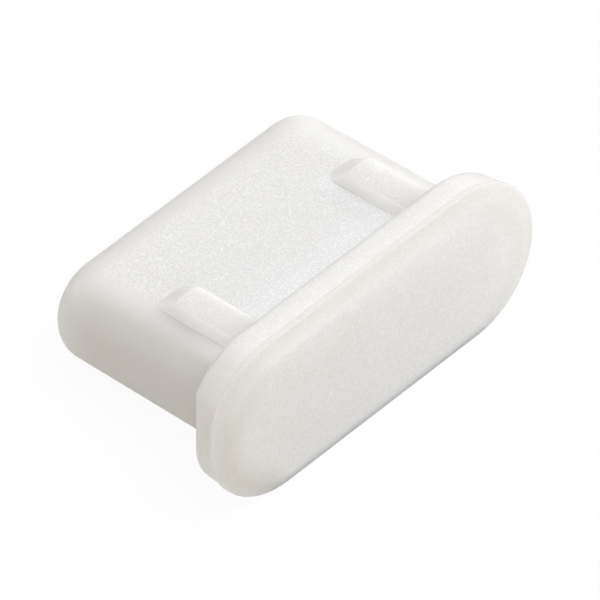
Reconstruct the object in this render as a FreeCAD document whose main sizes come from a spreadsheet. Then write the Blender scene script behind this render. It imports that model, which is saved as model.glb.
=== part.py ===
"""Dust cap for a small reversible data port, moulded in one piece of soft translucent plastic.

The cap is drawn in its own axes first: X along the width, Y from the flange's seat to the plug's tip, Z
across the thickness, with the origin in the middle of the seat. The finished body is then laid down as it
comes to rest on a table: on the flange's rim and the lower edge of the tip, with the tip leaning down.
All sizes are in millimetres and degrees.
"""
import FreeCAD, Part
import math
import os
import Sketcher

NODE = "port_cap"
X_AXIS = FreeCAD.Vector(1, 0, 0)
Z_AXIS = FreeCAD.Vector(0, 0, 1)
# Edges are found by their place: how exact it is, and how far a pad's foot may spread past its plan.
NEAR = 1e-4
FOOT_SPREAD = 0.1

# Driving sizes. Every sketch below starts from rough numbers, and its constraints pull it to these.
SIZES = [
    # The plug's section is the opening of the port that it closes, less the play at its sides.
    ("plug_width", 8.30),
    ("plug_height", 2.56),
    ("plug_length", 5.06),
    ("plug_draft", 0.35),
    ("tip_radius", 0.62),
    # The flange is widest at its lip, along the seam of the mould near its face. The lip's reach is taken
    # from the plug, at the round ends and at the flat sides.
    ("lip_width", 0.81),
    ("lip_height", 0.72),
    ("lip_radius", 0.05),
    ("flange_thickness", 1.08),
    ("seam_depth", 0.80),
    # Behind the seam the rim steps in a little and is drafted towards the plug.
    ("rim_step", 0.02),
    ("rim_draft", 5.0),
    ("back_radius", 0.22),
    # A shallow crowned border runs round the flat face. Its land is what stays straight next to the lip.
    ("border_width", 0.44),
    ("border_drop", 0.165),
    ("border_land", 0.345),
    # The moulding gate was trimmed with a flat on one end of the rim, tilted a little upwards. The trim
    # runs out softly into the lower half of the round end.
    ("gate_depth", 0.22),
    ("gate_tilt", 8.6),
    ("gate_runout", 1.10),
    # The slot in the tip takes the port's contact tongue.
    ("tongue_width", 6.69),
    ("tongue_thickness", 0.70),
    ("tongue_clearance", 0.08),
    ("slot_depth", 4.20),
    ("mouth_radius", 0.06),
    # Four grip pads stand on the plug's flat sides, against the flange, and ramp down towards the tip.
    # Each one hangs over the end of the flat, where the plug's round end begins.
    ("grip_overhang", 0.24),
    ("grip_width", 0.91),
    ("grip_length", 2.556),
    ("grip_height", 0.32),
    ("grip_side_run", 0.08),
    ("grip_ramp_run", 0.55),
    ("grip_corner_radius", 0.26),
    ("grip_edge_radius", 0.09),
    ("grip_foot_radius", 0.06),
    ("grip_root_depth", 0.10),
]

FLANGE_WIDTH = "(sizes.plug_width + 2 * sizes.lip_width)"
FLANGE_HEIGHT = "(sizes.plug_height + 2 * sizes.lip_height)"
RIM_INSET = "(sizes.rim_step + sizes.seam_depth * tan(sizes.rim_draft))"
GRIP_OUTER = "((sizes.plug_width - sizes.plug_height) / 2 + sizes.grip_overhang)"


def make_sheet(doc):
    """Writes the driving sizes into a sheet, one row each, with its name as alias."""
    sheet = doc.addObject("Spreadsheet::Sheet", "sizes")
    for row, (alias, value) in enumerate(SIZES, start=1):
        sheet.set(f"A{row}", alias)
        sheet.set(f"B{row}", str(value))
        sheet.setAlias(f"B{row}", alias)
    doc.recompute()
    return sheet


def origin_plane(body, role):
    """Gives one of the body's own origin planes."""
    return next(plane for plane in body.Origin.OriginFeatures if plane.Role == role)


def new_sketch(body, name, role, offset=None):
    """Adds a sketch on an origin plane, moved along the plane's normal by an expression."""
    sketch = body.newObject("Sketcher::SketchObject", name)
    sketch.AttachmentSupport = [(origin_plane(body, role), "")]
    sketch.MapMode = "FlatFace"
    if offset:
        sketch.setExpression("AttachmentOffset.Base.z", offset)
    return sketch


def size_constraint(sketch, name, constraint, expression):
    """Adds a dimension to a sketch and ties it to the sheet."""
    index = sketch.addConstraint(constraint)
    sketch.renameConstraint(index, name)
    sketch.setExpression(f"Constraints.{name}", expression)


def stadium(body, name, width, height, offset=None):
    """Draws a slot outline with half-round ends, centred on the origin of the XZ plane."""
    sketch = new_sketch(body, name, "XZ_Plane", offset)
    half, radius = 3.0, 1.0
    point = FreeCAD.Vector
    top = sketch.addGeometry(Part.LineSegment(point(-half, radius, 0), point(half, radius, 0)))
    right = sketch.addGeometry(
        Part.Arc(point(half, radius, 0), point(half + radius, 0, 0), point(half, -radius, 0))
    )
    bottom = sketch.addGeometry(Part.LineSegment(point(half, -radius, 0), point(-half, -radius, 0)))
    left = sketch.addGeometry(
        Part.Arc(point(-half, -radius, 0), point(-half - radius, 0, 0), point(-half, radius, 0))
    )
    # An arc runs anticlockwise, so the right one starts at the bottom and the left one at the top.
    sketch.addConstraint(Sketcher.Constraint("Tangent", top, 2, right, 2))
    sketch.addConstraint(Sketcher.Constraint("Tangent", right, 1, bottom, 1))
    sketch.addConstraint(Sketcher.Constraint("Tangent", bottom, 2, left, 2))
    sketch.addConstraint(Sketcher.Constraint("Tangent", left, 1, top, 1))
    sketch.addConstraint(Sketcher.Constraint("Horizontal", top))
    sketch.addConstraint(Sketcher.Constraint("Equal", left, right))
    sketch.addConstraint(Sketcher.Constraint("Symmetric", left, 3, right, 3, -1, 1))
    size_constraint(sketch, "end_radius", Sketcher.Constraint("Radius", right, radius), f"({height}) / 2")
    size_constraint(
        sketch, "centres", Sketcher.Constraint("DistanceX", left, 3, right, 3, 2 * half),
        f"({width}) - ({height})",
    )
    return sketch


def rim_outline(body):
    """Draws the rim at the seat: a slot outline whose left end was trimmed flat at the moulding gate."""
    sketch = new_sketch(body, "rim_outline", "XZ_Plane")
    half, radius, easing = 3.0, 2.0, 1.4
    upper, lower = math.radians(143), math.radians(235)
    point = FreeCAD.Vector
    left_middle = point(-half, 0, 0)

    def on_end(angle):
        return left_middle + point(radius * math.cos(angle), radius * math.sin(angle), 0)

    easing_middle = left_middle + point(math.cos(lower), math.sin(lower), 0) * (radius - easing)
    top = sketch.addGeometry(Part.LineSegment(point(-half, radius, 0), point(half, radius, 0)))
    right = sketch.addGeometry(
        Part.Arc(point(half, radius, 0), point(half + radius, 0, 0), point(half, -radius, 0))
    )
    bottom = sketch.addGeometry(Part.LineSegment(point(half, -radius, 0), point(-half, -radius, 0)))
    circle = Part.Circle(left_middle, Z_AXIS, radius)
    left_upper = sketch.addGeometry(Part.ArcOfCircle(circle, math.pi / 2, upper))
    left_lower = sketch.addGeometry(Part.ArcOfCircle(circle, lower, 3 * math.pi / 2))
    runout = sketch.addGeometry(
        Part.ArcOfCircle(Part.Circle(easing_middle, Z_AXIS, easing), math.pi, lower)
    )
    flat = sketch.addGeometry(
        Part.LineSegment(on_end(upper), easing_middle - point(easing, 0, 0))
    )
    # Every arc runs anticlockwise, so the right one starts at the bottom.
    sketch.addConstraint(Sketcher.Constraint("Tangent", top, 2, right, 2))
    sketch.addConstraint(Sketcher.Constraint("Tangent", right, 1, bottom, 1))
    sketch.addConstraint(Sketcher.Constraint("Tangent", bottom, 2, left_lower, 2))
    sketch.addConstraint(Sketcher.Constraint("Tangent", left_lower, 1, runout, 2))
    sketch.addConstraint(Sketcher.Constraint("Tangent", runout, 1, flat, 2))
    sketch.addConstraint(Sketcher.Constraint("Coincident", flat, 1, left_upper, 2))
    sketch.addConstraint(Sketcher.Constraint("Tangent", left_upper, 1, top, 1))
    sketch.addConstraint(Sketcher.Constraint("Coincident", left_upper, 3, left_lower, 3))
    sketch.addConstraint(Sketcher.Constraint("Equal", left_upper, right))
    sketch.addConstraint(Sketcher.Constraint("Equal", left_lower, right))
    sketch.addConstraint(Sketcher.Constraint("Horizontal", top))
    sketch.addConstraint(Sketcher.Constraint("Symmetric", left_upper, 3, right, 3, -1, 1))
    size_constraint(
        sketch, "end_radius", Sketcher.Constraint("Radius", right, radius),
        f"{FLANGE_HEIGHT} / 2 - {RIM_INSET}",
    )
    size_constraint(
        sketch, "centres", Sketcher.Constraint("DistanceX", left_upper, 3, right, 3, 2 * half),
        f"{FLANGE_WIDTH} - {FLANGE_HEIGHT}",
    )
    size_constraint(
        sketch, "runout", Sketcher.Constraint("Radius", runout, easing), "sizes.gate_runout"
    )
    size_constraint(
        sketch, "tilt", Sketcher.Constraint("Angle", flat, 2, -2, 1, math.radians(8)), "sizes.gate_tilt"
    )
    size_constraint(
        sketch, "flat", Sketcher.Constraint("Distance", left_upper, 3, flat, radius - 0.2),
        f"{FLANGE_HEIGHT} / 2 - {RIM_INSET} - sizes.gate_depth",
    )
    return sketch


def grip_outline(body, name, offset, inset, ramp):
    """Draws one grip pad in plan: a strip against the flange with two rounded corners at its tip end."""
    sketch = new_sketch(body, name, "XY_Plane", offset)
    near, far, foot, end, radius = 2.0, 3.0, -0.2, 2.5, 0.2
    point = FreeCAD.Vector
    base = sketch.addGeometry(Part.LineSegment(point(near, foot, 0), point(far, foot, 0)))
    outer = sketch.addGeometry(Part.LineSegment(point(far, foot, 0), point(far, end - radius, 0)))
    diagonal = radius * 0.5 ** 0.5
    outer_corner = sketch.addGeometry(Part.Arc(
        point(far, end - radius, 0),
        point(far - radius + diagonal, end - radius + diagonal, 0),
        point(far - radius, end, 0),
    ))
    tip = sketch.addGeometry(Part.LineSegment(point(far - radius, end, 0), point(near + radius, end, 0)))
    inner_corner = sketch.addGeometry(Part.Arc(
        point(near + radius, end, 0),
        point(near + radius - diagonal, end - radius + diagonal, 0),
        point(near, end - radius, 0),
    ))
    inner = sketch.addGeometry(Part.LineSegment(point(near, end - radius, 0), point(near, foot, 0)))
    sketch.addConstraint(Sketcher.Constraint("Coincident", base, 2, outer, 1))
    sketch.addConstraint(Sketcher.Constraint("Tangent", outer, 2, outer_corner, 1))
    sketch.addConstraint(Sketcher.Constraint("Tangent", outer_corner, 2, tip, 1))
    sketch.addConstraint(Sketcher.Constraint("Tangent", tip, 2, inner_corner, 1))
    sketch.addConstraint(Sketcher.Constraint("Tangent", inner_corner, 2, inner, 1))
    sketch.addConstraint(Sketcher.Constraint("Coincident", inner, 2, base, 1))
    sketch.addConstraint(Sketcher.Constraint("Horizontal", base))
    sketch.addConstraint(Sketcher.Constraint("Vertical", outer))
    sketch.addConstraint(Sketcher.Constraint("Vertical", inner))
    sketch.addConstraint(Sketcher.Constraint("Horizontal", tip))
    sketch.addConstraint(Sketcher.Constraint("Equal", outer_corner, inner_corner))
    size_constraint(
        sketch, "corner", Sketcher.Constraint("Radius", outer_corner, radius),
        f"sizes.grip_corner_radius - {inset}",
    )
    size_constraint(
        sketch, "inner_side", Sketcher.Constraint("DistanceX", -1, 1, base, 1, near),
        f"{GRIP_OUTER} - sizes.grip_width + {inset}",
    )
    size_constraint(
        sketch, "outer_side", Sketcher.Constraint("DistanceX", -1, 1, base, 2, far),
        f"{GRIP_OUTER} - {inset}",
    )
    # The foot of the pad runs into the flange, so that the two are one piece.
    size_constraint(
        sketch, "foot", Sketcher.Constraint("DistanceY", base, 1, -1, 1, -foot), "sizes.seam_depth / 2"
    )
    size_constraint(
        sketch, "tip_end", Sketcher.Constraint("DistanceY", -1, 1, tip, 1, end),
        f"sizes.grip_length - {ramp}",
    )
    return sketch


def pad(body, name, profile, length, reversed_side=False, draft=None):
    """Thickens a profile along its normal, or against it, with the sides drawn in by a draft angle."""
    feature = body.newObject("PartDesign::Pad", name)
    feature.Profile = profile
    feature.Reversed = reversed_side
    feature.setExpression("Length", length)
    if draft:
        feature.setExpression("TaperAngle", draft)
    return feature


def pocket(body, name, profile, length):
    """Cuts a profile into the body, towards the flange's front."""
    feature = body.newObject("PartDesign::Pocket", name)
    feature.Profile = profile
    feature.Reversed = True
    feature.setExpression("Length", length)
    return feature


def edges_where(shape, test):
    """Names the edges of a shape whose every vertex and midpoint pass a test."""
    names = []
    for index, edge in enumerate(shape.Edges, start=1):
        middle = edge.valueAt((edge.FirstParameter + edge.LastParameter) / 2)
        points = [vertex.Point for vertex in edge.Vertexes] + [middle]
        if all(test(point) for point in points):
            names.append(f"Edge{index}")
    return names


def round_edges(doc, body, name, test, radius):
    """Rounds the edges that pass a test."""
    doc.recompute()
    base = body.Tip
    names = edges_where(base.Shape, test)
    if not names:
        raise RuntimeError(f"{name} found no edge to round")
    feature = body.newObject("PartDesign::Fillet", name)
    feature.Base = (base, names)
    feature.setExpression("Radius", radius)
    doc.recompute()
    return feature


def make_border(doc, body, sheet):
    """Slopes the outer edge of the face, crowns the slope's crest and rounds the lip."""
    crown = doc.addObject("App::VarSet", "crown")
    crown.addProperty("App::PropertyAngle", "slope")
    crown.addProperty("App::PropertyFloat", "reach")
    crown.addProperty("App::PropertyFloat", "radius")
    crown.setExpression("slope", "atan(sizes.border_drop / sizes.border_width)")
    crown.setExpression(
        "reach",
        "sizes.border_width / cos(slope) - sizes.lip_radius * tan(45 deg - slope / 2) - sizes.border_land",
    )
    crown.setExpression("radius", "reach / tan(slope / 2)")
    face = -sheet.flange_thickness
    edge = face + sheet.border_drop
    doc.recompute()
    base = body.Tip
    slope = body.newObject("PartDesign::Chamfer", "border")
    slope.Base = (base, edges_where(base.Shape, lambda p: abs(p.y - face) < NEAR))
    slope.ChamferType = "Two distances"
    slope.setExpression("Size", "sizes.border_drop")
    slope.setExpression("Size2", "sizes.border_width")
    round_edges(doc, body, "lip_edge", lambda p: abs(p.y - edge) < NEAR, "sizes.lip_radius")
    round_edges(doc, body, "border_crest", lambda p: abs(p.y - face) < NEAR, "crown.radius")


def make_flange(doc, body, sheet):
    """Makes the face plate with its lip and crowned border, and the drafted rim behind the seam."""
    outline = stadium(body, "face_outline", FLANGE_WIDTH, FLANGE_HEIGHT, "sizes.seam_depth")
    pad(body, "face_plate", outline, "sizes.flange_thickness - sizes.seam_depth")
    make_border(doc, body, sheet)
    pad(body, "rim", rim_outline(body), "sizes.seam_depth", draft="sizes.rim_draft")
    round_edges(doc, body, "back_edge", lambda p: abs(p.y) < NEAR, "sizes.back_radius")


def make_plug(doc, body, sheet):
    """Makes the plug with its draft, its rounded tip and the slot for the tongue."""
    outline = stadium(body, "plug_outline", "sizes.plug_width", "sizes.plug_height")
    pad(body, "plug", outline, "sizes.plug_length", reversed_side=True, draft="-sizes.plug_draft")
    tip = sheet.plug_length
    round_edges(doc, body, "tip_edge", lambda p: abs(p.y - tip) < NEAR, "sizes.tip_radius")
    outline = stadium(
        body,
        "slot_outline",
        "sizes.tongue_width + 2 * sizes.tongue_clearance",
        "sizes.tongue_thickness + 2 * sizes.tongue_clearance",
        "-sizes.plug_length",
    )
    pocket(body, "tongue_slot", outline, "sizes.slot_depth")
    half_slot = sheet.tongue_thickness / 2 + sheet.tongue_clearance + NEAR
    round_edges(
        doc,
        body,
        "slot_mouth",
        lambda p: abs(p.y - tip) < NEAR and abs(p.z) < half_slot,
        "sizes.mouth_radius",
    )


def make_grips(doc, body, sheet):
    """Makes one grip pad, and mirrors it to the other side of the plug and to its underside."""
    face = "sizes.plug_height / 2"
    # The sides run on into the plug down to the root: the plug's drafted face falls away under them.
    sink = "(-sizes.grip_root_depth / sizes.grip_height)"
    base = grip_outline(
        body,
        "grip_base",
        f"{face} - sizes.grip_root_depth",
        f"{sink} * sizes.grip_side_run",
        f"{sink} * sizes.grip_ramp_run",
    )
    crest = f"{face} + sizes.grip_height"
    top = grip_outline(body, "grip_top", crest, "sizes.grip_side_run", "sizes.grip_ramp_run")
    grip = body.newObject("PartDesign::AdditiveLoft", "grip")
    grip.Profile = base
    grip.Sections = [top]
    grip.Ruled = True
    doc.recompute()
    copies = body.newObject("PartDesign::MultiTransform", "grips")
    copies.Originals = [grip]
    mirrors = []
    for name, role in (("grips_across", "YZ_Plane"), ("grips_below", "XY_Plane")):
        mirror = body.newObject("PartDesign::Mirrored", name)
        mirror.MirrorPlane = (origin_plane(body, role), [""])
        mirrors.append(mirror)
    copies.Transformations = mirrors
    body.Tip = copies
    height = sheet.plug_height / 2 + sheet.grip_height
    round_edges(
        doc,
        body,
        "grip_edges",
        lambda p: abs(abs(p.z) - height) < NEAR and p.y > NEAR,
        "sizes.grip_edge_radius",
    )
    outer = (sheet.plug_width - sheet.plug_height) / 2 + sheet.grip_overhang
    inner = outer - sheet.grip_width
    fall = math.tan(math.radians(sheet.plug_draft))
    round_edges(
        doc,
        body,
        "grip_feet",
        lambda p: (
            abs(abs(p.z) - sheet.plug_height / 2 + fall * p.y) < NEAR
            and inner - FOOT_SPREAD < abs(p.x) < outer + FOOT_SPREAD
            and p.y < sheet.grip_length + FOOT_SPREAD
        ),
        "sizes.grip_foot_radius",
    )


def support_lean(depth, drop, radius):
    """Writes the lean of the line that touches a rounded rim and the tip's rounding from below.

    depth is how far the rim's centre of rounding lies in front of the seat, drop how far below the axis.
    """
    rise = f"({drop} - tip_drop)"
    run = f"({depth} + tip_depth)"
    return f"acos((sizes.tip_radius - {radius}) / sqrt({rise}^2 + {run}^2)) - atan2({run}; {rise})"


def lay_down(doc, body):
    """Lays the cap on its rim and the tip's lower edge, with the middle of its box over the origin."""
    rest = doc.addObject("App::VarSet", "rest")
    for name in ("tip_depth", "tip_drop", "lift", "face_reach", "shift"):
        rest.addProperty("App::PropertyFloat", name)
    for name in ("lip_lean", "back_lean", "lean"):
        rest.addProperty("App::PropertyAngle", name)
    rest.setExpression("tip_depth", "sizes.plug_length - sizes.tip_radius")
    rest.setExpression(
        "tip_drop",
        "sizes.plug_height / 2 - tip_depth * tan(sizes.plug_draft)"
        " - sizes.tip_radius / cos(sizes.plug_draft)",
    )
    rest.setExpression("lip_lean", support_lean("sizes.seam_depth", f"({FLANGE_HEIGHT} / 2)", "0"))
    rest.setExpression("back_lean", support_lean(
        "sizes.back_radius",
        f"({FLANGE_HEIGHT} / 2 - {RIM_INSET} + sizes.back_radius * tan(sizes.rim_draft)"
        " - sizes.back_radius / cos(sizes.rim_draft))",
        "sizes.back_radius",
    ))
    rest.setExpression("lean", "max(lip_lean; back_lean)")
    rest.setExpression("lift", "sizes.tip_radius + tip_drop * cos(lean) + tip_depth * sin(lean)")
    face_edge = f"({FLANGE_HEIGHT} / 2 - sizes.border_width - crown.reach)"
    rest.setExpression(
        "face_reach",
        f"(sizes.flange_thickness - crown.radius) * cos(lean) + {face_edge} * sin(lean) + crown.radius",
    )
    rest.setExpression(
        "shift",
        "(face_reach - tip_depth * cos(lean) - tip_drop * sin(lean) - sizes.tip_radius) / 2",
    )
    body.Placement = FreeCAD.Placement(FreeCAD.Vector(), FreeCAD.Rotation(X_AXIS, -1))
    body.setExpression("Placement.Rotation.Angle", "-rest.lean")
    body.setExpression("Placement.Base.y", "rest.shift")
    body.setExpression("Placement.Base.z", "rest.lift")
    doc.recompute()
    return rest


def check(doc, body):
    """Stops on any object that failed, and on a body that isn't one valid solid."""
    for item in doc.Objects:
        faults = [state for state in item.State if state in ("Invalid", "Error")]
        if faults:
            raise RuntimeError(f"{item.Name} is {faults}")
    shape = body.Shape
    if shape.isNull() or not shape.isValid():
        raise RuntimeError(f"{body.Label} has no valid shape")
    if len(shape.Solids) != 1:
        raise RuntimeError(f"{body.Label} has {len(shape.Solids)} solids instead of one")


def main():
    doc = FreeCAD.newDocument("port_cap")
    sheet = make_sheet(doc)
    body = doc.addObject("PartDesign::Body", NODE)
    body.Label = NODE
    make_flange(doc, body, sheet)
    make_plug(doc, body, sheet)
    make_grips(doc, body, sheet)
    rest = lay_down(doc, body)
    check(doc, body)
    os.makedirs("parts", exist_ok=True)
    body.Shape.exportStep(f"parts/{body.Label}.step")
    box = body.Shape.optimalBoundingBox(False, False)
    print(f"lean {rest.lean.Value:.3f} lift {rest.lift:.4f} shift {rest.shift:.4f}")
    print(f"x {box.XMin:.4f} {box.XMax:.4f} y {box.YMin:.4f} {box.YMax:.4f}")
    print(f"z {box.ZMin:.4f} {box.ZMax:.4f}")
    print(f"volume {body.Shape.Volume:.3f} area {body.Shape.Area:.3f} faces {len(body.Shape.Faces)}")


main()
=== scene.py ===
# %% [markdown]
# # A dust cap for a small reversible data port
#
# The cap is one moulding of soft white translucent plastic, about 10 mm wide. A flat plug goes into the
# port, a flange with a sloped border stays outside, and low grip pads on the plug hold it in.
# Everything here is in the frame of the imported part: metres, with the cap lying on the floor as it comes
# to rest. The lesson builds a fine skin of the cap out of slot-shaped rings, joins the pads to it, and then
# spends most of its care on the finish: a fine spark-eroded grain over a body that lets some light through,
# with painted light and shade in its colour.

# %% Load the frame
import math

import bmesh
import bpy
from mathutils import Matrix, Vector


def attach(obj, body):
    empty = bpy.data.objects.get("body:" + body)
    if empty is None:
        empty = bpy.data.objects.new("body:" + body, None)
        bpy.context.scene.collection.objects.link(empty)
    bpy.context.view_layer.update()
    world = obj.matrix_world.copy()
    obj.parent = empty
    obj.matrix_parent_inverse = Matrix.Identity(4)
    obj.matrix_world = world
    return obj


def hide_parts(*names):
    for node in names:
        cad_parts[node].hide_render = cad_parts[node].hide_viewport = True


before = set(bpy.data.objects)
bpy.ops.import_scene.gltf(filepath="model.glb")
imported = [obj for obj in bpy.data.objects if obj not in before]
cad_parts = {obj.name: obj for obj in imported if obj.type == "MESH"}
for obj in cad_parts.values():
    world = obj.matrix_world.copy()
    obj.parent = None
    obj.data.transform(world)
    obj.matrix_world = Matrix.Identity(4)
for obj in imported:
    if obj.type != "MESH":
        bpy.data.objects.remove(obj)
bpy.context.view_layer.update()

# %% [markdown]
# ## Sizes of the cap
#
# The cap is drawn in its own axes in millimetres, as a tool maker would: X along the width, Y from the
# flange's seat to the tip of the plug, Z across the thickness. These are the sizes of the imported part,
# so the skin that we build fits its solid all over.

# %% Sizes in millimetres
PLUG_WIDTH = 8.30
PLUG_HEIGHT = 2.56
PLUG_LENGTH = 5.06
PLUG_DRAFT = math.radians(0.35)
TIP_RADIUS = 0.62
LIP_WIDTH = 0.81
LIP_HEIGHT = 0.72
LIP_RADIUS = 0.05
FLANGE_THICKNESS = 1.08
SEAM_DEPTH = 0.80
RIM_STEP = 0.02
RIM_DRAFT = math.radians(5.0)
BACK_RADIUS = 0.22
BORDER_WIDTH = 0.44
BORDER_DROP = 0.165
BORDER_LAND = 0.345
GATE_DEPTH = 0.22
GATE_TILT = math.radians(8.6)
GATE_RUNOUT = 1.10
SLOT_WIDTH = 6.85
SLOT_HEIGHT = 0.86
SLOT_DEPTH = 4.20
MOUTH_RADIUS = 0.06
flange_radius = PLUG_HEIGHT / 2 + LIP_HEIGHT
flange_run = PLUG_WIDTH / 2 + LIP_WIDTH - flange_radius
plug_run = (PLUG_WIDTH - PLUG_HEIGHT) / 2
slot_run = (SLOT_WIDTH - SLOT_HEIGHT) / 2
print(f"flange {2 * (flange_run + flange_radius):.2f} x {2 * flange_radius:.2f} mm")

# %% [markdown]
# ## A slot-shaped ring
#
# Every cross-section of this cap is the same kind of outline: two straight runs and two half-round
# ends. One could model a box and bevel it, but then each rounding would fight with the next. Rings are
# easier. If each ring has the same count of points in the same order, any two of them can be joined by
# a band of quads.

# %% One ring
RUN_STEPS = 56
ARC_STEPS = 48


def slot_ring(half_run, radius, depth):
    """Goes along the top, round the +X end, back along the bottom and round the -X end."""
    points = []
    for step in range(RUN_STEPS):
        points.append(Vector((half_run * (2 * step / RUN_STEPS - 1), depth, radius)))
    for step in range(ARC_STEPS):
        angle = math.pi * (0.5 - step / ARC_STEPS)
        points.append(Vector((half_run + radius * math.cos(angle), depth, radius * math.sin(angle))))
    return points + [Vector((-point.x, depth, -point.z)) for point in points]


print("points in a ring:", len(slot_ring(1.0, 1.0, 0.0)))

# %% [markdown]
# ## The profile, from the outer face to the tip
#
# Now we walk over the cap's surface and note a ring at each stop: a half run, a radius and a depth. The
# walk goes out over the flat outer face, over the rounded crest of its border and down the slope, and
# round the lip. Roundings are arcs of a few stops, so small helpers make arcs and straight ways.

# %% Outer face and lip
FACE_START = 0.15


def arc_stop(centre, size, angle):
    """One stop on an arc round a centre: -90 degrees looks to the front, 0 out, 90 to the tip."""
    run, radius, depth = centre
    turn = math.radians(angle)
    return (run, radius + size * math.cos(turn), depth + size * math.sin(turn))


def rounding(centre, size, start, stop, steps):
    """Stops on an arc between two angles, after the first one."""
    return [arc_stop(centre, size, start + (stop - start) * step / steps) for step in range(1, steps + 1)]


def straight(first, last, steps):
    """Stops on a straight way between two stops, after the first one."""
    ways = [step / steps for step in range(1, steps + 1)]
    return [tuple(a + (b - a) * way for a, b in zip(first, last)) for way in ways]


face_depth = -FLANGE_THICKNESS
slope = math.atan(BORDER_DROP / BORDER_WIDTH)
slope_start = math.degrees(slope) - 90
lip_tangent = LIP_RADIUS * math.tan(math.pi / 4 - slope / 2)
crown_reach = BORDER_WIDTH / math.cos(slope) - lip_tangent - BORDER_LAND
crown_radius = crown_reach / math.tan(slope / 2)
flat_edge = flange_radius - BORDER_WIDTH - crown_reach
crown_centre = (flange_run, flat_edge, face_depth + crown_radius)
lip_depth = face_depth + BORDER_DROP + LIP_RADIUS * (1 / math.cos(slope) - math.tan(slope))
lip_centre = (flange_run, flange_radius - LIP_RADIUS, lip_depth)

face_plate = [(flange_run, FACE_START, face_depth)]
face_plate += straight(face_plate[0], (flange_run, flat_edge, face_depth), steps=14)
face_plate += rounding(crown_centre, crown_radius, -90, slope_start, steps=10)
face_plate += [arc_stop(lip_centre, LIP_RADIUS, slope_start)]
face_plate += rounding(lip_centre, LIP_RADIUS, slope_start, 0, steps=8)
face_plate += straight(face_plate[-1], (flange_run, flange_radius, -SEAM_DEPTH), steps=2)
print("stops on the outer face and lip:", len(face_plate))

# %% [markdown]
# The walk goes on over the seam, where the two halves of the mould met, and along the rim to the seat.
# Then follow the plug, its rounded tip and the slot that clears the tongue of the port. Rim and plug
# are drafted, which means that they get a little thinner away from the seam so that they leave the
# mould.

# %% Rim, plug and slot
SLOT_MIDDLE = 0.1
seam_radius = flange_radius - RIM_STEP
seat_radius = seam_radius - SEAM_DEPTH * math.tan(RIM_DRAFT)
rim_end = math.degrees(RIM_DRAFT)
back_radius = seat_radius + BACK_RADIUS * (math.tan(RIM_DRAFT) - 1 / math.cos(RIM_DRAFT))
back_centre = (flange_run, back_radius, -BACK_RADIUS)
rim = [(flange_run, seam_radius, -SEAM_DEPTH)]
rim += straight(rim[0], arc_stop(back_centre, BACK_RADIUS, rim_end), steps=8)
rim += rounding(back_centre, BACK_RADIUS, rim_end, 90, steps=9)

tip_start = math.degrees(PLUG_DRAFT)
tip_depth = PLUG_LENGTH - TIP_RADIUS
tip_radius = PLUG_HEIGHT / 2 - tip_depth * math.tan(PLUG_DRAFT) - TIP_RADIUS / math.cos(PLUG_DRAFT)
tip_centre = (plug_run, tip_radius, tip_depth)
plug_side = [(plug_run, PLUG_HEIGHT / 2, 0.0)]
plug_side += straight(plug_side[0], arc_stop(tip_centre, TIP_RADIUS, tip_start), steps=42)
plug_side += rounding(tip_centre, TIP_RADIUS, tip_start, 90, steps=16)

slot_floor = PLUG_LENGTH - SLOT_DEPTH
mouth = SLOT_HEIGHT / 2 + MOUTH_RADIUS
mouth_centre = (slot_run, mouth, PLUG_LENGTH - MOUTH_RADIUS)
tongue_slot = straight(plug_side[-1], (slot_run, mouth, PLUG_LENGTH), steps=2)
tongue_slot += rounding(mouth_centre, MOUTH_RADIUS, 90, 180, steps=5)
tongue_slot += straight(tongue_slot[-1], (slot_run, SLOT_HEIGHT / 2, slot_floor), steps=24)
tongue_slot += straight(tongue_slot[-1], (slot_run, SLOT_MIDDLE, slot_floor), steps=3)
print("stops on rim, plug and slot:", len(rim), len(plug_side), len(tongue_slot))

# %% [markdown]
# ## The trimmed gate
#
# Plastic entered the mould at the left end of the rim, and the stub was cut off afterwards, which left
# a flat there that looks a little upwards. Its upper corner is crisp, and below it runs out softly into
# the round end. A boolean cut would leave a sharp edge behind, so the rings of the rim get another end
# instead: a piece of the circle, a smaller arc that touches it, the straight flat, and the circle
# again.

# %% Rings with the flat
BELOW_POINTS = 10
RUNOUT_POINTS = 12
FLAT_POINTS = 12
ABOVE_POINTS = ARC_STEPS - BELOW_POINTS - RUNOUT_POINTS - FLAT_POINTS
SEAT_WAYS = (0.25, 0.5, 0.75)
arc_start = 2 * RUN_STEPS + ARC_STEPS
runout_out = seat_radius - GATE_DEPTH - GATE_RUNOUT
runout_down = math.sqrt((seat_radius - GATE_RUNOUT) ** 2 - runout_out ** 2)
runout_angle = math.atan2(runout_down, runout_out)


def between(first, last, count):
    """Numbers from the first towards the last, without the last."""
    return [first + (last - first) * step / count for step in range(count)]


def trimmed_end(radius):
    """The -X end from the bottom to the top: steps out along the flat's normal and down along the flat."""
    flat = radius - GATE_DEPTH
    easing = radius - seat_radius + GATE_RUNOUT
    corner = math.acos(flat / radius)
    points = []
    for angle in between(math.pi / 2 + GATE_TILT, runout_angle, BELOW_POINTS):
        points.append((radius * math.cos(angle), radius * math.sin(angle)))
    for angle in between(runout_angle, 0.0, RUNOUT_POINTS):
        points.append((runout_out + easing * math.cos(angle), runout_down + easing * math.sin(angle)))
    for down in between(runout_down, -radius * math.sin(corner), FLAT_POINTS):
        points.append((flat, down))
    for angle in between(-corner, GATE_TILT - math.pi / 2, ABOVE_POINTS):
        points.append((radius * math.cos(angle), radius * math.sin(angle)))
    return points


def with_gate(stop):
    """Makes a ring of the rim whose -X end is trimmed."""
    run, radius, depth = stop
    ring = slot_ring(run, radius, depth)
    tilt_cos, tilt_sin = math.cos(GATE_TILT), math.sin(GATE_TILT)
    for step, (out, down) in enumerate(trimmed_end(radius)):
        across = -run - out * tilt_cos - down * tilt_sin
        ring[arc_start + step] = Vector((across, depth, out * tilt_sin - down * tilt_cos))
    return ring


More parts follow.
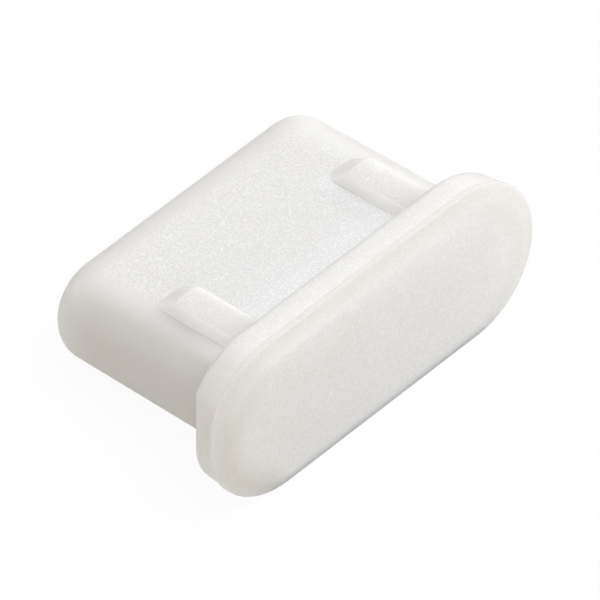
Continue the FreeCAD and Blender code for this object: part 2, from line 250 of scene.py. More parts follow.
rings = [slot_ring(*stop) for stop in face_plate]
rings += [with_gate(stop) for stop in rim]
seat_edge = rings[-1]
plug_root = slot_ring(*plug_side[0])
for way in SEAT_WAYS:
    rings.append([a.lerp(b, way) for a, b in zip(seat_edge, plug_root)])
rings += [slot_ring(*stop) for stop in plug_side + tongue_slot]
print("rings:", len(rings))

# %% [markdown]
# ## Joining the rings into a skin
#
# A band of quads goes between each ring and the next. The first and the last ring are still open, so a
# row of points down their middle closes them, which keeps the quads even. An edge that hasn't two faces
# would be a hole, so the open edges are counted.

# %% The skin
MERGE_DISTANCE = 1e-5


def add_bands(mesh, rings):
    """Adds the points of the rings and a band of quads between each ring and the next."""
    made = [[mesh.verts.new(point) for point in ring] for ring in rings]
    count = len(made[0])
    for ring, following in zip(made, made[1:]):
        for step in range(count):
            after = (step + 1) % count
            mesh.faces.new((ring[step], ring[after], following[after], following[step]))
    return made


def close_ring(mesh, ring, points):
    """Fills a ring with two rows of quads and a fan at each end, round a row of points down its middle."""
    depth = points[0].y
    middle = [mesh.verts.new((points[step].x, depth, 0.0)) for step in range(RUN_STEPS + 1)]
    half = RUN_STEPS + ARC_STEPS
    for step in range(RUN_STEPS):
        mesh.faces.new((ring[step], ring[step + 1], middle[step + 1], middle[step]))
        low = 2 * half - ARC_STEPS - step
        mesh.faces.new((ring[low], ring[low - 1], middle[step + 1], middle[step]))
    for step in range(ARC_STEPS):
        right = RUN_STEPS + step
        left = (half + right) % (2 * half)
        mesh.faces.new((ring[right], ring[right + 1], middle[RUN_STEPS]))
        mesh.faces.new((ring[left], ring[(left + 1) % (2 * half)], middle[0]))


def describe(label, mesh):
    """Prints how many faces and open edges a mesh has, and its volume."""
    open_edges = sum(1 for edge in mesh.edges if len(edge.link_faces) != 2)
    print(label, "faces", len(mesh.faces), "open edges", open_edges, f"volume {mesh.calc_volume():.3f} mm3")


def make_object(name, mesh):
    """Turns the faces outwards and makes an object of the mesh."""
    bmesh.ops.recalc_face_normals(mesh, faces=mesh.faces)
    describe(name, mesh)
    data = bpy.data.meshes.new(name)
    mesh.to_mesh(data)
    mesh.free()
    made = bpy.data.objects.new(name, data)
    bpy.context.scene.collection.objects.link(made)
    return made


skin_mesh = bmesh.new()
skin_rings = add_bands(skin_mesh, rings)
close_ring(skin_mesh, skin_rings[0], rings[0])
close_ring(skin_mesh, skin_rings[-1], rings[-1])
bmesh.ops.remove_doubles(skin_mesh, verts=skin_mesh.verts, dist=MERGE_DISTANCE)
cap = make_object("port_cap_skin", skin_mesh)

# %% [markdown]
# ## The grip pads
#
# Four low pads stand on the plug against the flange, two on each flat side, and press on the walls of
# the port. Each is a strip with steep sides, two rounded corners and a long ramp at the tip end. We
# draw its plan twice, at the foot and on top, and join the two later.

# %% Plan of a pad
GRIP_OVERHANG = 0.24
GRIP_WIDTH = 0.91
GRIP_LENGTH = 2.556
GRIP_HEIGHT = 0.32
GRIP_SIDE_RUN = 0.08
GRIP_RAMP_RUN = 0.55
GRIP_CORNER_RADIUS = 0.26
CORNER_STEPS = 12
SIDE_WAYS = (0.0, 0.2, 0.4, 0.6, 0.8)


def pad_plan(inset, ramp):
    """The pad's outline in plan, from the inner end at the flange round the tip to the outer end."""
    far = plug_run + GRIP_OVERHANG - inset
    near = plug_run + GRIP_OVERHANG - GRIP_WIDTH + inset
    foot = -SEAM_DEPTH / 2
    end = GRIP_LENGTH - ramp
    radius = GRIP_CORNER_RADIUS - inset
    along = [foot + (end - radius - foot) * way for way in SIDE_WAYS]
    points = [Vector((near, place)) for place in along]
    for centre, turn in ((near + radius, 180), (far - radius, 90)):
        for step in range(CORNER_STEPS + 1):
            angle = math.radians(turn - 90 * step / CORNER_STEPS)
            ahead = end - radius + radius * math.sin(angle)
            points.append(Vector((centre + radius * math.cos(angle), ahead)))
    return points + [Vector((far, place)) for place in reversed(along)]


print("points in a pad's plan:", len(pad_plan(0.0, 0.0)))

# %% [markdown]
# A pad has a soft rounding along its upper edge and a small hollow one at the foot. So each point of
# the plan becomes a column of points up the pad's side. The root sinks into the plug and the flange,
# because two solids that only touch can't be joined. One pad is made, and the other three are its
# mirror images.

# %% Four pads
GRIP_EDGE_RADIUS = 0.09
GRIP_FOOT_RADIUS = 0.06
GRIP_ROOT_DEPTH = 0.10
EDGE_STEPS = 7
FOOT_STEPS = 6
FOOT_BITE = 0.004


def plug_top(place):
    """The height of the plug's upper side over a place in plan, with its draft and its round ends."""
    radius = PLUG_HEIGHT / 2 - max(place.y, 0.0) * math.tan(PLUG_DRAFT)
    return math.sqrt(radius ** 2 - max(place.x - plug_run, 0.0) ** 2)


def pad_column(low, high):
    """Points up one line of the pad's side: sunk root, hollow foot, wall and rounded upper edge."""
    out = (low - high).normalized()
    rise = math.atan2(GRIP_HEIGHT, (low - high).length)
    crest = PLUG_HEIGHT / 2 + GRIP_HEIGHT
    column = []
    for step in range(FOOT_STEPS + 1):
        angle = rise * step / FOOT_STEPS
        place = low + out * GRIP_FOOT_RADIUS * (math.tan(rise / 2) - math.sin(angle))
        lift = GRIP_FOOT_RADIUS * (1 - math.cos(angle)) - FOOT_BITE
        column.append(Vector((place.x, place.y, plug_top(place) + lift)))
    for step in range(EDGE_STEPS + 1):
        angle = rise * (1 - step / EDGE_STEPS)
        place = high + out * GRIP_EDGE_RADIUS * (math.sin(angle) - math.tan(rise / 2))
        column.append(Vector((place.x, place.y, crest - GRIP_EDGE_RADIUS * (1 - math.cos(angle)))))
    root = column[0] - Vector((0, 0, GRIP_ROOT_DEPTH))
    return [root] + column


def pad_rings(flip):
    """Rings of one pad from its sunk root to its flat top, mirrored by a vector of signs."""
    plans = zip(pad_plan(0.0, 0.0), pad_plan(GRIP_SIDE_RUN, GRIP_RAMP_RUN))
    columns = [pad_column(low, high) for low, high in plans]
    return [[point * flip for point in ring] for ring in zip(*columns)]


def make_pad(name, flip):
    """Makes one pad, mirrored to the other side of the plug or to its underside where asked."""
    mesh = bmesh.new()
    made = add_bands(mesh, pad_rings(flip))
    mesh.faces.new(made[0])
    mesh.faces.new(made[-1])
    return make_object(name, mesh)


pads = [
    make_pad("grip_pad_right_above", Vector((1, 1, 1))),
    make_pad("grip_pad_right_below", Vector((1, 1, -1))),
    make_pad("grip_pad_left_above", Vector((-1, 1, 1))),
    make_pad("grip_pad_left_below", Vector((-1, 1, -1))),
]

# %% [markdown]
# ## One solid
#
# Light travels inside this plastic, so no wall may be left inside the body: a pad that is only pushed
# into the plug would show its hidden base as a dark patch. An exact boolean union removes those walls.
# It is done while the mesh is still in millimetres, because at one thousandth of that size its
# tolerances would be too coarse.

# %% Union of skin and pads
for pad in pads:
    joint = cap.modifiers.new(pad.name, "BOOLEAN")
    joint.operation = "UNION"
    joint.solver = "EXACT"
    joint.object = pad
depsgraph = bpy.context.evaluated_depsgraph_get()
joined = bpy.data.meshes.new_from_object(cap.evaluated_get(depsgraph))
cap.modifiers.clear()
cap.data = joined
for pad in pads:
    bpy.data.objects.remove(pad)

solid = bmesh.new()
solid.from_mesh(joined)
bmesh.ops.remove_doubles(solid, verts=solid.verts, dist=MERGE_DISTANCE)
bmesh.ops.dissolve_degenerate(solid, edges=solid.edges, dist=MERGE_DISTANCE)
describe("joined", solid)

# %% [markdown]
# ## Soft roundings and true creases
#
# All faces are shaded smooth. Only where two faces meet at more than 35 degrees, such as the step at
# the seam or the root of the plug, the edge is marked sharp and keeps its crease.

# %% Shading
CREASE = math.radians(35)
for face in solid.faces:
    face.smooth = True
creases = 0
for edge in solid.edges:
    if len(edge.link_faces) == 2 and edge.calc_face_angle() > CREASE:
        edge.smooth = False
        creases += 1
print("crease edges", creases)

# %% [markdown]
# ## Telling the places apart
#
# The next two steps need to know which part of the cap a point belongs to. Painting masks by hand would
# work, but the way a point faces and the place where it lies already tell it apart. These helpers
# answer with yes or no where the shape has an edge, and with a soft share from 0 to 1 where one finish
# runs into another.

# %% Places on the cap
PAD_START = 0.004
SEAM_MARGIN = 0.001
TIP_FADE = (-0.40, 0.15)
END_FADE = (-0.4, 0.6)
FACE_FACING = (0.960, 0.996)
BORDER_FADE = (0.20, 0.45)
END_BORDER_FADE = (0.35, 1.10)


def smooth_step(value, low, high):
    """Goes softly from 0 at the low value to 1 at the high one."""
    share = min(max((value - low) / (high - low), 0.0), 1.0)
    return share * share * (3 - 2 * share)


def between_levels(first, last, share):
    """Goes from the first level to the last one as the share goes from 0 to 1."""
    return first + (last - first) * share


def in_slot(place):
    """Tells whether a point lies in the hidden slot of the plug."""
    within = abs(place.x) < SLOT_WIDTH / 2 + MOUTH_RADIUS and abs(place.z) < mouth
    return within and place.y > slot_floor / 2


def on_pad(place):
    """Tells whether a point belongs to a pad and not to the plug under it."""
    across = min(abs(place.x), plug_run + GRIP_OVERHANG)
    ground = plug_top(Vector((across, place.y)))
    return 0.0 < place.y < GRIP_LENGTH and abs(place.z) > ground + PAD_START


def before_seam(place):
    """Tells whether a point lies on the front of the flange, before the seam."""
    return place.y < -SEAM_DEPTH - SEAM_MARGIN


def before_tip(place):
    """Is 1 on the plug and goes to 0 over the last part of its flat sides."""
    return 1 - smooth_step(place.y - tip_depth, *TIP_FADE)


def round_end(across):
    """Is 1 round an end of the flange and 0 along its straight runs."""
    return smooth_step(across - flange_run, *END_FADE)


def on_outer_face(place, facing):
    """Is 1 on the flat of the outer face and fades over its border, further in round the ends."""
    spine = min(max(place.x, -flange_run), flange_run)
    inwards = flange_radius - math.hypot(place.x - spine, place.z)
    end = round_end(abs(place.x))
    low = between_levels(BORDER_FADE[0], END_BORDER_FADE[0], end)
    high = between_levels(BORDER_FADE[1], END_BORDER_FADE[1], end)
    return smooth_step(-facing.y, *FACE_FACING) * smooth_step(inwards, low, high)


print("points on pads", sum(1 for vert in solid.verts if on_pad(vert.co)))

# %% [markdown]
# ## Where the grain is
#
# The mould was spark-eroded on its flat parts, so the plug's flat sides, the pads' tops, the rim and
# the outer face have a fine grain, while the roundings, the ramps and the slot are smooth. The grain
# runs out softly before the tip, at the shoulders of the plug and at the border of the outer face. The
# mask is kept on the points as an attribute called grain, where a material can read it. A second one
# marks the outer face, whose grain is coarser.

# %% Grain mask
RIM_GRAIN = 0.5
PAD_GRAIN = 0.7
BORDER_GRAIN = 0.25
GRAIN_FACING = (0.92, 0.99)
SHOULDER_FADE = (-0.05, 0.35)


def grain_at(place, facing):
    """How much grain there is at a point, from 0 to 1."""
    if in_slot(place):
        return 0.0
    if before_seam(place):
        return max(BORDER_GRAIN, on_outer_face(place, facing))
    flat = smooth_step(abs(facing.z), *GRAIN_FACING) * before_tip(place)
    if place.y < 0.0:
        return RIM_GRAIN * flat
    if on_pad(place):
        return PAD_GRAIN * flat
    return flat * (1 - smooth_step(abs(place.x) - plug_run, *SHOULDER_FADE))


solid.normal_update()
grain_layer = solid.verts.layers.float.new("grain")
outer_layer = solid.verts.layers.float.new("outer_face")
for vert in solid.verts:
    vert[grain_layer] = grain_at(vert.co, vert.normal)
    vert[outer_layer] = on_outer_face(vert.co, vert.normal)
print("grained points", sum(1 for vert in solid.verts if vert[grain_layer] > 0.5), "of", len(solid.verts))

# %% [markdown]
# ## How white the skin is, with painted light and shade
#
# Grain sends light back at once, so a grained surface looks white. Through a smooth skin the light goes
# deeper, and the plastic looks darker and warmer: on the round ends and the tip of the plug, on the lip and
# the border of the flange. An attribute called whiteness_and_painted_light notes this from 0 to 1. It also
# carries painted light and shade: some places are made lighter or darker to stand in for the light and
# shade that fall there. It could be a painted map, but levels by name are easier to tune against a
# photograph. First come the levels of the flange.

# %% Whiteness and painted light and shade of the flange
LIP_WHITE_AND_PAINTED_SHADE = 0.22
SMOOTH_WHITE = 0.37
BORDER_WHITE = 0.53
GATE_WHITE_AND_PAINTED_LIGHT = 0.56
FACE_WHITE = 0.57
FACE_PAINTED_LIGHT = 0.02
RIM_WHITE = 0.635
LIP_SPAN = (0.80, 0.92)
CREST_SPAN = (0.90, 1.05)
CREST_END = 0.6
RIGHT_SHADE = 0.25
UPPER_LEFT_LIGHT = 0.65
UPPER_LEFT_SPAN = (0.4, 1.5)
GATE_FACING = -0.5
FLAT_FACING = (0.78, 0.995)


def front_whiteness_and_painted_light(place, facing):
    """Lip, border and outer face, with painted shade on the lip and round the ends of the crest, and
    painted light that makes the outer face a little whiter towards the upper right.
    """
    end = smooth_step(abs(place.x) - flange_run, 0.0, CREST_END)
    # Painted shade: the crest of the border gets darker round the ends, most round the lower left, less at
    # the upper left and least at the right end.
    left_shade = 1 - UPPER_LEFT_LIGHT * smooth_step(place.z, *UPPER_LEFT_SPAN)
    shade = left_shade if place.x < 0.0 else RIGHT_SHADE
    crest = between_levels(BORDER_WHITE, LIP_WHITE_AND_PAINTED_SHADE, shade * end)
    # The lip is darker than the rim, partly as painted shade over the light that falls on it.
    lip = between_levels(RIM_WHITE, LIP_WHITE_AND_PAINTED_SHADE, smooth_step(-place.y, *LIP_SPAN))
    border = between_levels(lip, crest, smooth_step(-place.y, *CREST_SPAN))
    # Painted light: the outer face gets a little whiter towards the upper right.
    face = FACE_WHITE + FACE_PAINTED_LIGHT * (place.x + place.z)
    return between_levels(border, face, on_outer_face(place, facing))


def rim_whiteness_and_painted_light(facing):
    """The rim behind the seam, with the flat of the gate at its left end, which is lighter partly as
    painted light in the shade of that end.
    """
    side = GATE_WHITE_AND_PAINTED_LIGHT if facing.x < GATE_FACING else SMOOTH_WHITE
    return between_levels(side, RIM_WHITE, smooth_step(abs(facing.z), *FLAT_FACING))


print("flange levels from", LIP_WHITE_AND_PAINTED_SHADE, "to", RIM_WHITE)

# %% [markdown]
# The low pads get painted light on their shaded walls, like a glow, and painted shade on their upper edges
# that face the key lamp. In the corner between plug and flange the cloudy plastic passes light on, which
# Subsurface alone shows too weakly. So the plug gets painted light near its root, where the flange shades
# it, beside the right pad over the pad's shadow, and at the corners of its tip.

# %% Whiteness and painted light of the plug and its pads
PAD_WHITE = 0.50
LIT_EDGE_PAINTED_SHADE = 0.12
WALL_PAINTED_LIGHT = 0.90
FLAT_WHITE = 0.61
TIP_CORNER_PAINTED_LIGHT = 0.20
ROOT_PAINTED_LIGHT = 0.50
BESIDE_PAD_PAINTED_LIGHT = 0.45
CORNER_FACING = (0.15, 0.6)
CORNER_SPAN = (3.5, 4.9)
ROOT_FADES = ((0.6, 1.5), (0.4, 0.3))
BESIDE_REACH = 0.45
BESIDE_END = (2.3, 2.8)
UNDER_PAD = 0.1
WALL_FACING = (0.70, 0.98)
SHADED_SIDE = (0.0, 0.3)
LIT_SIDE = (0.05, 0.4)
pad_edge = plug_run + GRIP_OVERHANG - GRIP_WIDTH


def pad_whiteness_and_painted_light(facing):
    """Tops of the pads, with painted shade on their upper edges that face the key lamp and painted light on
    their shaded walls.
    """
    # Painted light on the walls that face away from the key lamp, and painted shade on the edges that face
    # it.
    wall = (1 - smooth_step(abs(facing.z), *WALL_FACING)) * smooth_step(-facing.x, *SHADED_SIDE)
    top = between_levels(PAD_WHITE, LIT_EDGE_PAINTED_SHADE, smooth_step(facing.x, *LIT_SIDE))
    return between_levels(top, WALL_PAINTED_LIGHT, wall)


def beside_pad(place):
    """Is 1 at the inner foot of the right pad and fades away from it, where painted light lifts the pad's
    shadow.
    """
    if place.x >= pad_edge + UNDER_PAD:
        return 0.0
    near = smooth_step(place.x, pad_edge - BESIDE_REACH, pad_edge)
    return near * (1 - smooth_step(place.y, *BESIDE_END))


def plug_whiteness_and_painted_light(place, facing):
    """Flat and round sides of the plug, with painted light at its tip corners, beside the right pad and in
    the corner where it meets the flange.
    """
    flat = smooth_step(abs(facing.z), *FLAT_FACING)
    level = between_levels(SMOOTH_WHITE, FLAT_WHITE, flat * before_tip(place))
    # Painted light at the tip corners, near the root where the flange shades the plug, and at the inner
    # foot of the right pad over its shadow.
    corner = smooth_step(abs(facing.x), *CORNER_FACING) * smooth_step(place.y, *CORNER_SPAN)
    root = 1 - sum(share * smooth_step(place.y, 0.0, reach) for share, reach in ROOT_FADES)
    lit = max(ROOT_PAINTED_LIGHT * root, BESIDE_PAD_PAINTED_LIGHT * beside_pad(place))
    return level + TIP_CORNER_PAINTED_LIGHT * corner + flat * lit


print(f"plug levels from {SMOOTH_WHITE} to {FLAT_WHITE}, inner foot of a pad at {pad_edge:.2f} mm")

# %% [markdown]
# Last, every point gets its level. The underside of the flange stands in the light that the white floor
# sends up, so painted light takes it up to full white over its contact shadow, except round the left end.

# %% Whiteness and painted light mask
UNDERSIDE_PAINTED_LIGHT = 1.0
LOW_FACING = (0.20, 0.60)


def whiteness_and_painted_light_at(place, facing):
    """The whiteness of any point of the cap, with its painted light and shade."""
    if in_slot(place):
        return SMOOTH_WHITE
    if on_pad(place):
        return pad_whiteness_and_painted_light(facing)
    if place.y >= 0.0:
        return plug_whiteness_and_painted_light(place, facing)
    level = front_whiteness_and_painted_light(place, facing) if before_seam(place) else rim_whiteness_and_painted_light(facing)
    # Painted light: the downward faces of the flange go to full white over their contact shadow, except
    # round the left end.
    low = smooth_step(-facing.z, *LOW_FACING) * (1 - round_end(-place.x))
    return between_levels(level, UNDERSIDE_PAINTED_LIGHT, low)


whiteness_and_painted_light_layer = solid.verts.layers.float.new("whiteness_and_painted_light")
for vert in solid.verts:
    vert[whiteness_and_painted_light_layer] = whiteness_and_painted_light_at(vert.co, vert.normal)
print("mean whiteness", round(sum(vert[whiteness_and_painted_light_layer] for vert in solid.verts) / len(solid.verts), 3))

# %% [markdown]
# ## Laying the cap down
#
# The flange is wider than the plug, so the cap rests on the flange's rim and on the lower edge of its
# tip, and leans by a few degrees. The lean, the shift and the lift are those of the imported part, where
# they follow from the two roundings that touch the floor. After that the mesh is in metres in the frame
# of the part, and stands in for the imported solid.

# %% Place
LEAN = math.radians(8.199)
SHIFT = -1.9106
LIFT = 1.8796
METRES = 0.001
lay_down = Matrix.Scale(METRES, 4) @ Matrix.Translation((0, SHIFT, LIFT)) @ Matrix.Rotation(-LEAN, 4, "X")
bmesh.ops.transform(solid, matrix=lay_down, verts=solid.verts)
solid.to_mesh(cap.data)
solid.free()
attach(cap, "root")
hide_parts("port_cap")
heights = [vert.co.z / METRES for vert in cap.data.vertices]
print(f"lowest {min(heights):.4f} mm highest {max(heights):.4f} mm")

# %% [markdown]
# ## Helpers for nodes
#
# A material is a graph of nodes. Placing each node by hand takes five lines, so three helpers place the
# common ones. Each input of theirs may be a plain number, a colour or a link from another node.

# %% Node helpers
def feed(tree, socket, value):
    """Links another node's output to a socket, or sets the socket to a plain number or colour."""
    if isinstance(value, bpy.types.NodeSocket):
        tree.links.new(value, socket)
    else:
        socket.default_value = value


def add_math(tree, operation, *values, clamp=False):
    """Adds a Math node with two values, or three for MULTIPLY_ADD."""
    node = tree.nodes.new("ShaderNodeMath")
    node.operation = operation
    node.use_clamp = clamp
    for socket, value in zip(node.inputs, values):
        feed(tree, socket, value)
    return node.outputs[0]


def add_noise(tree, place, scale, detail):
    """Adds a noise in space."""
    node = tree.nodes.new("ShaderNodeTexNoise")
    for label, value in (("Vector", place), ("Scale", scale), ("Detail", detail)):
        feed(tree, node.inputs[label], value)
    return node.outputs["Fac"]


def add_mix(tree, share, first, second, blend="MIX"):
    """Mixes two colours by a share."""
    node = tree.nodes.new("ShaderNodeMix")
    node.data_type = "RGBA"
    node.blend_type = blend
    for index, value in ((0, share), (6, first), (7, second)):
        feed(tree, node.inputs[index], value)
    return node.outputs[2]


print("helpers", add_math.__name__, add_noise.__name__, add_mix.__name__)

# %% [markdown]
# ## The grain as a node group
#
# Spark erosion leaves a skin of tiny craters, each about a twentieth of a millimetre wide. A photograph of
# it could be tiled, but a procedural grain has no seams and works at any size. The group adds two sizes of
# noise. Height goes to a bump. Tone is light on the crests and dark in the pits, and an even grey where
# there is no grain, so it can tint the colour and change the gloss. In the colour the light crests are
# painted glints and the dark pits are painted shade. A power pulls the tone down except on the highest
# crests, because the eye sees bright flecks on an even ground; these flecks are painted glints. Amount is
# the share of grain at the point.

# %% Grain group
CRATER_DETAIL = 1.0
GRIT_SCALE = 2.3
GRIT_SHARE = 0.45
RELIEF_MIDDLE = 0.5 * (1 + GRIT_SHARE)
TONE_STRETCH = 3.3
TONE_MIDDLE = 0.5
GLINT_POWER = 2.0


def new_group(name, inputs, outputs):
    """Makes a shader node group with named float or vector inputs and float outputs."""
    group = bpy.data.node_groups.new(name, "ShaderNodeTree")
    for label, kind in inputs:
        group.interface.new_socket(label, in_out="INPUT", socket_type=kind)
    for label in outputs:
        group.interface.new_socket(label, in_out="OUTPUT", socket_type="NodeSocketFloat")
    start = group.nodes.new("NodeGroupInput")
    end = group.nodes.new("NodeGroupOutput")
    return group, start.outputs, end.inputs


grain_group, grain_in, grain_out = new_group(
    "spark_eroded_grain",
    [("Place", "NodeSocketVector"), ("Scale", "NodeSocketFloat"), ("Amount", "NodeSocketFloat")],
    ["Height", "Tone"],
)
craters = add_noise(grain_group, grain_in["Place"], grain_in["Scale"], CRATER_DETAIL)
finer_scale = add_math(grain_group, "MULTIPLY", grain_in["Scale"], GRIT_SCALE)
grit = add_noise(grain_group, grain_in["Place"], finer_scale, CRATER_DETAIL)
grit_share = add_math(grain_group, "MULTIPLY", grit, GRIT_SHARE)
relief = add_math(grain_group, "ADD", craters, grit_share)
amount_relief = add_math(grain_group, "MULTIPLY", relief, grain_in["Amount"])
feed(grain_group, grain_out["Height"], amount_relief)
swing = add_math(grain_group, "SUBTRACT", relief, RELIEF_MIDDLE)
amount_swing = add_math(grain_group, "MULTIPLY", swing, grain_in["Amount"])
stretched = add_math(grain_group, "MULTIPLY", amount_swing, TONE_STRETCH)
centred = add_math(grain_group, "ADD", stretched, TONE_MIDDLE, clamp=True)
glint_tone = add_math(grain_group, "POWER", centred, GLINT_POWER)
feed(grain_group, grain_out["Tone"], glint_tone)
print("group", grain_group.name, "nodes", len(grain_group.nodes))

# %% [markdown]
# ## Soft translucent plastic
#
# The plastic is nearly white and lets light travel about a millimetre, which softens every shadow and
# warms the thin places. That is what Subsurface does. The grain is placed twice, fine on the plug and
# the rim and coarser on the outer face, and the mask of the outer face picks between the two.

# %% Plastic with two grains
PLASTIC_IOR = 1.50
LIGHT_TRAVEL = 0.0016
TRAVEL_BY_COLOUR = (1.0, 0.96, 0.90)
GRAIN_PER_MM = 22.0
FACE_GRAIN_PER_MM = 15.0
FACE_GRAIN = 0.36
SMOOTH_SHARE = 0.12


def add_mask(tree, name):
    """Reads one of the attributes that the points of the mesh carry."""
    node = tree.nodes.new("ShaderNodeAttribute")
    node.attribute_name = name
    return node.outputs["Fac"]


def add_grain(tree, place, scale, amount):
    """Places the grain group with its own scale and amount."""
    node = tree.nodes.new("ShaderNodeGroup")
    node.node_tree = grain_group
    for label, value in (("Place", place), ("Scale", scale), ("Amount", amount)):
        feed(tree, node.inputs[label], value)
    return node.outputs


def add_choice(tree, share, first, second):
    """Mixes two values by a share."""
    node = tree.nodes.new("ShaderNodeMix")
    node.data_type = "FLOAT"
    for index, value in ((0, share), (2, first), (3, second)):
        feed(tree, node.inputs[index], value)
    return node.outputs[0]


plastic = bpy.data.materials.new("soft_plastic_grained")
plastic.use_nodes = True
tree = plastic.node_tree
shader = tree.nodes["Principled BSDF"]
shader.inputs["IOR"].default_value = PLASTIC_IOR
shader.inputs["Subsurface Weight"].default_value = 1.0
shader.inputs["Subsurface Radius"].default_value = TRAVEL_BY_COLOUR
shader.inputs["Subsurface Scale"].default_value = LIGHT_TRAVEL

coordinates = tree.nodes.new("ShaderNodeTexCoord")
to_millimetres = tree.nodes.new("ShaderNodeVectorMath")
to_millimetres.operation = "SCALE"
feed(tree, to_millimetres.inputs[0], coordinates.outputs["Object"])
feed(tree, to_millimetres.inputs["Scale"], 1 / METRES)
place_mm = to_millimetres.outputs[0]

side_amount = add_math(tree, "MULTIPLY_ADD", add_mask(tree, "grain"), 1 - SMOOTH_SHARE, SMOOTH_SHARE)
side_grain = add_grain(tree, place_mm, GRAIN_PER_MM, side_amount)
face_grain = add_grain(tree, place_mm, FACE_GRAIN_PER_MM, FACE_GRAIN)
on_face = add_mask(tree, "outer_face")
tone = add_choice(tree, on_face, side_grain["Tone"], face_grain["Tone"])
height = add_choice(tree, on_face, side_grain["Height"], face_grain["Height"])
print("material", plastic.name, "has grain at", GRAIN_PER_MM, "and", FACE_GRAIN_PER_MM, "per mm")

# %% [markdown]
# Three things make the colour: the whiteness of the skin with its painted light and shade, a cloudy noise
# that keeps it from being quite even, and the tone of the grain, whose light crests are painted glints and
# whose dark pits are painted shade. The grain also raises the bump and makes its crests a little glossier
# than the pits. Everything stays rough, because the photograph shows no highlight.

# %% Colour, gloss and relief
CLOUD_LIGHT = (1.0, 1.0, 1.0, 1.0)
CLOUD_DARK = (0.965, 0.962, 0.955, 1.0)
CLOUDS_PER_MM = 0.7
CLOUD_DETAIL = 2.0
PIT_SHADE = (0.885, 0.885, 0.887, 1.0)
CREST_PAINTED_GLINT = (1.055, 1.055, 1.058, 1.0)
DEEP_SKIN = (0.600, 0.575, 0.525, 1.0)
WHITE_SKIN = (1.0, 0.998, 1.0, 1.0)
PIT_ROUGHNESS = 0.74
CREST_GLOSS = 0.16
GRAIN_DEPTH = 0.000012

cloud = add_noise(tree, place_mm, CLOUDS_PER_MM, CLOUD_DETAIL)
cloudy = add_mix(tree, cloud, CLOUD_DARK, CLOUD_LIGHT)
# Painted glints and painted shade: the grain's lighter crests and darker pits in the colour.
shade = add_mix(tree, tone, PIT_SHADE, CREST_PAINTED_GLINT)
# The skin colour mixed by this mask carries painted light and shade as well as the finish.
skin = add_mix(tree, add_mask(tree, "whiteness_and_painted_light"), DEEP_SKIN, WHITE_SKIN)
cloudy_skin = add_mix(tree, 1.0, skin, cloudy, "MULTIPLY")
colour = add_mix(tree, 1.0, cloudy_skin, shade, "MULTIPLY")
feed(tree, shader.inputs["Base Color"], colour)

gloss = add_math(tree, "MULTIPLY_ADD", tone, -CREST_GLOSS, PIT_ROUGHNESS)
feed(tree, shader.inputs["Roughness"], gloss)

bump = tree.nodes.new("ShaderNodeBump")
bump.inputs["Strength"].default_value = 1.0
bump.inputs["Distance"].default_value = GRAIN_DEPTH
feed(tree, bump.inputs["Height"], height)
feed(tree, shader.inputs["Normal"], bump.outputs["Normal"])
cap.data.materials.clear()
cap.data.materials.append(plastic)
print("material", plastic.name, "nodes", len(tree.nodes))

# %% [markdown]
# ## Floor and backdrop
#
# The photograph shows the cap on plain white. The floor is a pale sheet that takes the cap's shadow.
# For the camera it is mixed with a plain white glow of strength 1, so it looks white without more light
# on the cap, and a small share of the sheet stays visible and keeps the shadow.

# %% Floor
FLOOR_SIZE = 0.8
FLOOR_WHITE = (0.93, 0.93, 0.93, 1.0)
FLOOR_ROUGHNESS = 0.9
SHADOW_SHARE = 0.06
PLAIN_WHITE = (1.0, 1.0, 1.0, 1.0)


def seen_directly(tree):
    """Is 1 for rays that come from the camera, or from it over a mirror or through glass."""
    path = tree.nodes.new("ShaderNodeLightPath")
    mirrored = add_math(tree, "MAXIMUM", path.outputs["Is Camera Ray"], path.outputs["Is Glossy Ray"])
    return add_math(tree, "MAXIMUM", mirrored, path.outputs["Is Transmission Ray"])


def mix_shaders(tree, share, first, second):
    """Mixes two shaders by a share."""
    node = tree.nodes.new("ShaderNodeMixShader")
    for socket, value in zip(node.inputs, (share, first, second)):
        feed(tree, socket, value)
    return node.outputs[0]


half_floor = FLOOR_SIZE / 2
corners = [(x * half_floor, y * half_floor, 0) for x, y in ((-1, -1), (1, -1), (1, 1), (-1, 1))]
floor_mesh = bpy.data.meshes.new("floor")
floor_mesh.from_pydata(corners, [], [(0, 1, 2, 3)])
floor = bpy.data.objects.new("floor", floor_mesh)
bpy.context.scene.collection.objects.link(floor)

sheet = bpy.data.materials.new("pale_sheet")
sheet.use_nodes = True
sheet_tree = sheet.node_tree
sheet_shader = sheet_tree.nodes["Principled BSDF"]
sheet_shader.inputs["Base Color"].default_value = FLOOR_WHITE
sheet_shader.inputs["Roughness"].default_value = FLOOR_ROUGHNESS
sheet_shader.inputs["Specular IOR Level"].default_value = 0.0
glow = sheet_tree.nodes.new("ShaderNodeEmission")
glow.inputs["Color"].default_value = PLAIN_WHITE
glow.inputs["Strength"].default_value = 1.0
glow_share = add_math(sheet_tree, "MULTIPLY", seen_directly(sheet_tree), 1 - SHADOW_SHARE)
sheet_look = mix_shaders(sheet_tree, glow_share, sheet_shader.outputs[0], glow.outputs[0])
feed(sheet_tree, sheet_tree.nodes["Material Output"].inputs["Surface"], sheet_look)
floor_mesh.materials.append(sheet)
print("floor", FLOOR_SIZE, "m wide")

# %% [markdown]
# The world has two sides as well. The camera sees plain white behind the floor. The cap gets a weaker,
# warm light from all around, which stands for a white room.

# %% Room
ROOM_LIGHT = 0.395
ROOM_COLOUR = (1.0, 0.985, 0.90, 1.0)


def add_background(tree, colour, strength):
    """Adds an even background."""
    node = tree.nodes.new("ShaderNodeBackground")
    node.inputs["Color"].default_value = colour
    node.inputs["Strength"].default_value = strength
    return node.outputs[0]


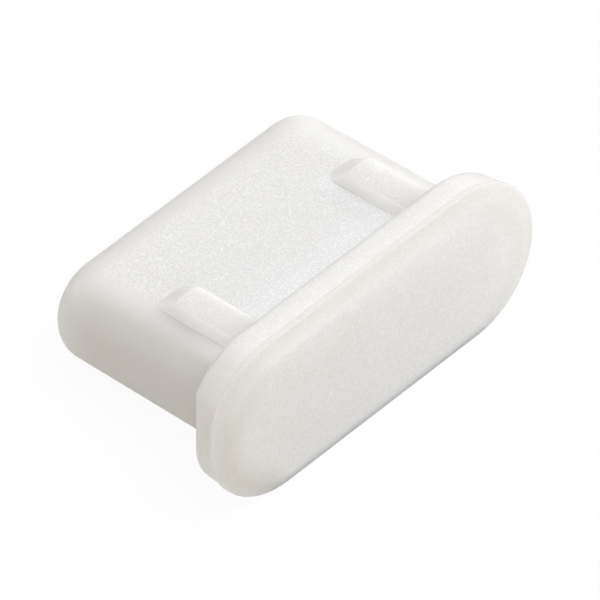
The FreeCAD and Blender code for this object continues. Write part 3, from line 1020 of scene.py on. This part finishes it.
world = bpy.context.scene.world or bpy.data.worlds.new("studio")
bpy.context.scene.world = world
world.use_nodes = True
world_tree = world.node_tree
world_tree.nodes.clear()
room = add_background(world_tree, ROOM_COLOUR, ROOM_LIGHT)
backdrop = add_background(world_tree, PLAIN_WHITE, 1.0)
world_look = mix_shaders(world_tree, seen_directly(world_tree), room, backdrop)
world_out = world_tree.nodes.new("ShaderNodeOutputWorld")
feed(world_tree, world_out.inputs["Surface"], world_look)
print("room light", ROOM_LIGHT)

# %% [markdown]
# ## Studio lamps
#
# The top of the cap is lightest, the outer face a little darker, and the left end is in soft shade. So
# a wide cool softbox hangs above, the key stands on the right in front of the face, and a weak warm
# lamp low on the left lifts the shade. Big lamps close by give soft edges. The powers were found by
# rendering the cap once for each lamp alone: light adds up, so the mix can be worked out afterwards.

# %% Lamps
COOL = (0.845, 0.866, 1.0)
NEUTRAL = (1.0, 1.0, 1.0)
WARM = (1.0, 0.6, 0.2)


def direction(azimuth, elevation):
    """Points away from the cap: azimuth 0 is in front of the outer face, 90 degrees on its right."""
    turn = math.radians(azimuth)
    rise = math.radians(elevation)
    return Vector((math.sin(turn) * math.cos(rise), -math.cos(turn) * math.cos(rise), math.sin(rise)))


def add_softbox(name, azimuth, elevation, distance, size, power, colour):
    """Adds a square lamp that looks at the cap."""
    away = direction(azimuth, elevation)
    lamp_data = bpy.data.lights.new(name, "AREA")
    lamp_data.shape = "SQUARE"
    lamp_data.size = size
    lamp_data.energy = power
    lamp_data.color = colour
    lamp = bpy.data.objects.new(name, lamp_data)
    lamp.location = away * distance
    lamp.rotation_euler = away.to_track_quat("Z", "Y").to_euler()
    bpy.context.scene.collection.objects.link(lamp)
    return lamp


lamps = [
    add_softbox("above", azimuth=60, elevation=85, distance=0.32, size=0.34, power=0.434, colour=COOL),
    add_softbox("key", azimuth=54, elevation=55, distance=0.20, size=0.20, power=0.288, colour=NEUTRAL),
    add_softbox("left_low", azimuth=-95, elevation=10, distance=0.32, size=0.14, power=0.045, colour=WARM),
]
print("lamps", [lamp.name for lamp in lamps])

# %% [markdown]
# ## Camera
#
# The photograph was taken from far away with a long lens, from the left of the outer face and from well
# above. A 600 mm lens on a 36 mm sensor keeps the edges nearly parallel, as they are in the picture.

# %% Camera
VIEW_AZIMUTH = -45.7014
VIEW_ELEVATION = 47.3937
VIEW_ROLL = math.radians(-0.0737)
VIEW_FROM = Vector((-0.1050862, -0.1031148, 0.1612061))
LENS = 600.0
SENSOR = 36.0
NEAREST = 0.01
FARTHEST = 10.0
camera_data = bpy.data.cameras.new("camera")
camera_data.lens = LENS
camera_data.sensor_width = SENSOR
camera_data.clip_start = NEAREST
camera_data.clip_end = FARTHEST
camera = bpy.data.objects.new("camera", camera_data)
back = direction(VIEW_AZIMUTH, VIEW_ELEVATION)
aim = back.to_track_quat("Z", "Y").to_matrix().to_4x4() @ Matrix.Rotation(VIEW_ROLL, 4, "Z")
camera.matrix_world = Matrix.Translation(VIEW_FROM) @ aim
bpy.context.scene.collection.objects.link(camera)
bpy.context.scene.camera = camera
bpy.context.scene.view_settings.view_transform = "Standard"
print("camera at", [round(value, 4) for value in camera.location])
